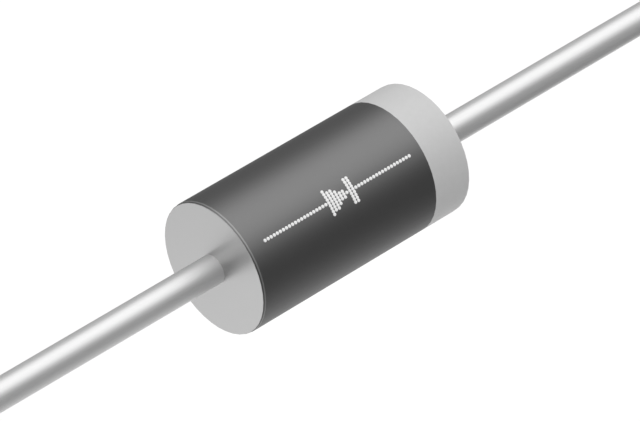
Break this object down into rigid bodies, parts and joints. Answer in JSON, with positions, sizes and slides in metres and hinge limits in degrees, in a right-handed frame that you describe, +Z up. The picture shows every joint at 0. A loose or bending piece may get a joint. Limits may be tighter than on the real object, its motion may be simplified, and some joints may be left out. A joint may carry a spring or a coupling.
{
  "type": "axial rectifier diode",
  "caption": "Axial rectifier diode: a round black moulded case with a pale ring round its cathode end and a stiff, straight tinned wire out of the middle of each end.",
  "frame": {"origin": "middle of the case, on the axis of the two wires, which is also the middle of the whole part", "axes": "+X along the wires towards the cathode, the end with the pale ring; +Z up, with the case lying on its side"},
  "size_m": [0.0588, 0.0036, 0.0034],
  "materials": {
    "black_epoxy": "satin moulded epoxy, near-black, with paler end faces",
    "pale_grey_ink": "smooth printed ink, pale grey",
    "tinned_copper": "satin bright tin over drawn copper wire",
    "soft_solder": "reflowed, dull silver",
    "silicon": "lapped, dark grey",
    "passivation_glass": "fired, pale green",
    "white_silicone": "matt white cured rubber"
  },
  "bodies": {
    "root": {"moulded_case": "black_epoxy", "cathode_band": "pale_grey_ink", "anode_lead": "tinned_copper", "cathode_lead": "tinned_copper", "anode_solder": "soft_solder", "cathode_solder": "soft_solder", "silicon_die": "silicon", "passivation_glass": "passivation_glass", "junction_coating": "white_silicone"}
  },
  "joints": []
}
